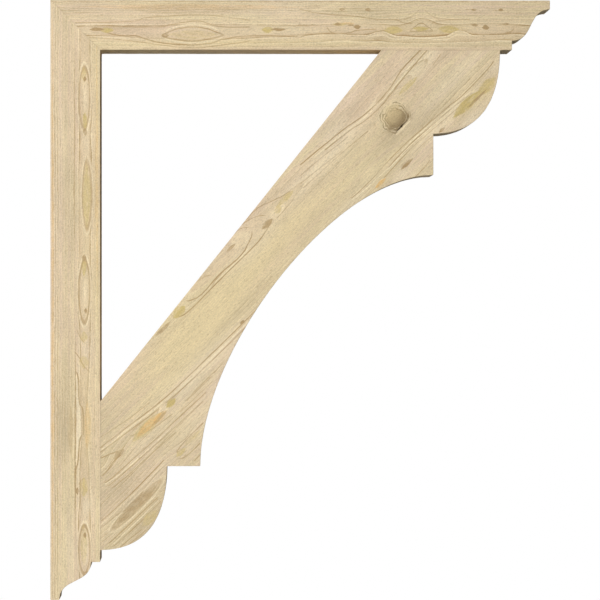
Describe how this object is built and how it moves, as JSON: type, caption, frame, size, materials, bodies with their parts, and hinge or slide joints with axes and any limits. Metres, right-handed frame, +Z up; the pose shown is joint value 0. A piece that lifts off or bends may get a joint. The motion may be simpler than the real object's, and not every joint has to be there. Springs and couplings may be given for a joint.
{
  "type": "wooden corbel bracket",
  "caption": "Rough-sawn softwood bracket: mitred back leg and top arm with ogee ends, stiffened by a shaped diagonal brace, for carrying eaves, a shelf or a worktop.",
  "frame": {"origin": "middle of the back leg's wall face, half way up its height and half way across its width", "axes": "+X points out from the wall along the top arm, +Y runs across the width, +Z is up"},
  "size_m": [0.508, 0.0888, 0.6096],
  "materials": {
    "fir": "unfinished rough-sawn softwood, matt, pale straw with light brown growth rings and one brown knot"
  },
  "bodies": {
    "root": {"back_leg": "fir", "top_arm": "fir", "brace": "fir"}
  },
  "joints": []
}
